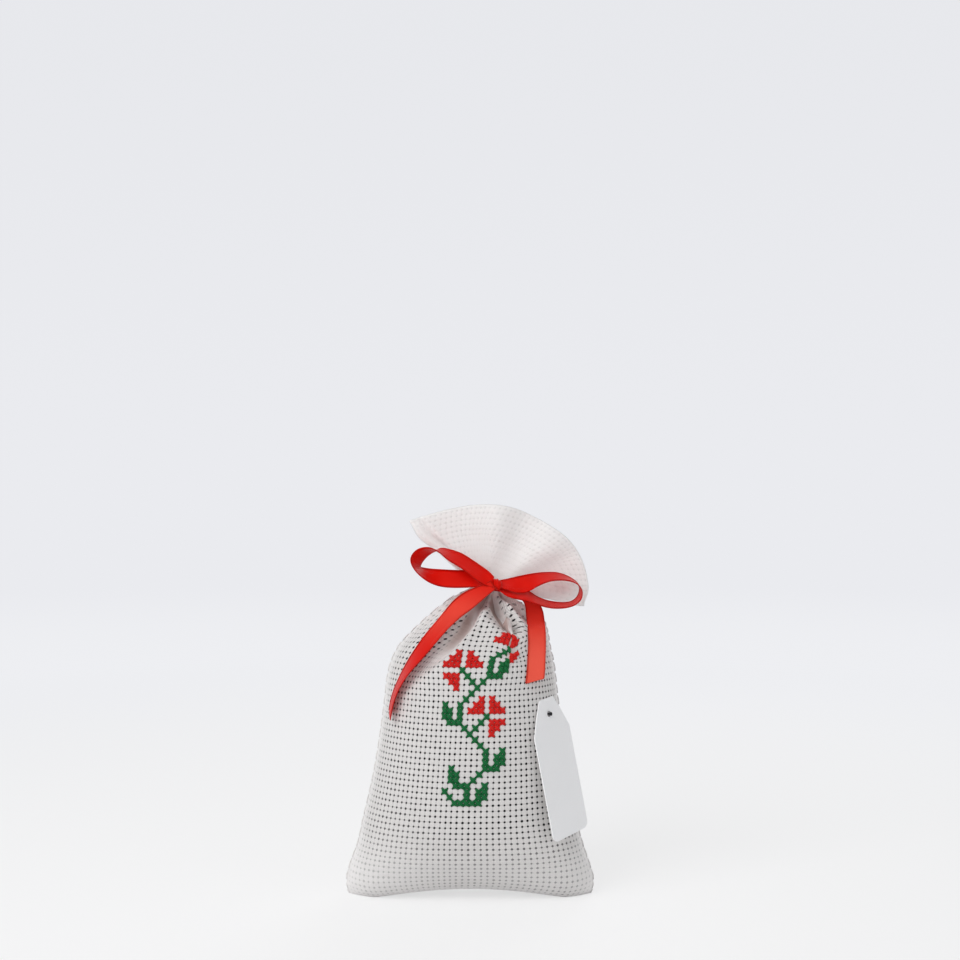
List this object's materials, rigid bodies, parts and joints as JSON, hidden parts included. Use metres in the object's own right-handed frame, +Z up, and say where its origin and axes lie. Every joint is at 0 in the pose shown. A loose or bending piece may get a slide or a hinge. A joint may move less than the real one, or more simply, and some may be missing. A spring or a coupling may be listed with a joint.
{
  "type": "lavender sachet",
  "caption": "Standing cloth bag filled with dried lavender, its neck gathered and tied with a ribbon bow, with a stitched vine on the front and a card tag at the side.",
  "frame": {"origin": "on the floor, under the middle of the bag", "axes": "+Z up, -Y towards the embroidered front, +X to the right when the front is seen"},
  "size_m": [0.0808, 0.0441, 0.1292],
  "materials": {
    "cloth": "off-white 14-count evenweave cotton, matt",
    "lavender": "loose dried lavender buds",
    "seam_thread": "sewing cotton",
    "petal_thread": "red stranded cotton with a soft shine",
    "leaf_thread": "green stranded cotton with a soft shine",
    "ribbon": "red satin ribbon",
    "card": "pale card, lightly textured",
    "knot_thread": "dark sewing thread"
  },
  "bodies": {
    "sachet": {"front_panel": "cloth", "back_panel": "cloth", "lavender_fill": "lavender", "seam_thread_left": "seam_thread", "seam_thread_right": "seam_thread", "seam_thread_bottom": "seam_thread", "flower_left_petal_1": "petal_thread", "flower_left_petal_2": "petal_thread", "flower_left_petal_3": "petal_thread", "flower_middle_petal_1": "petal_thread", "flower_middle_petal_2": "petal_thread", "flower_middle_petal_3": "petal_thread", "flower_top_petal_1": "petal_thread", "flower_top_petal_2": "petal_thread", "flower_top_petal_3": "petal_thread", "vine_stitching": "leaf_thread", "ribbon_neck_band": "ribbon", "ribbon_knot": "ribbon", "ribbon_loop_left": "ribbon", "ribbon_loop_right": "ribbon", "ribbon_tail_left": "ribbon", "ribbon_tail_right": "ribbon", "tag_stitch": "knot_thread"},
    "tag": {"swing_tag": "card"}
  },
  "joints": [
    {"name": "tag_swing", "type": "hinge", "parent": "sachet", "child": "tag", "pos_m": [0.02554, -0.01158, 0.06152], "axis": [0.7359, -0.6626, 0.1392], "range_deg": [-14, 12]}
  ]
}
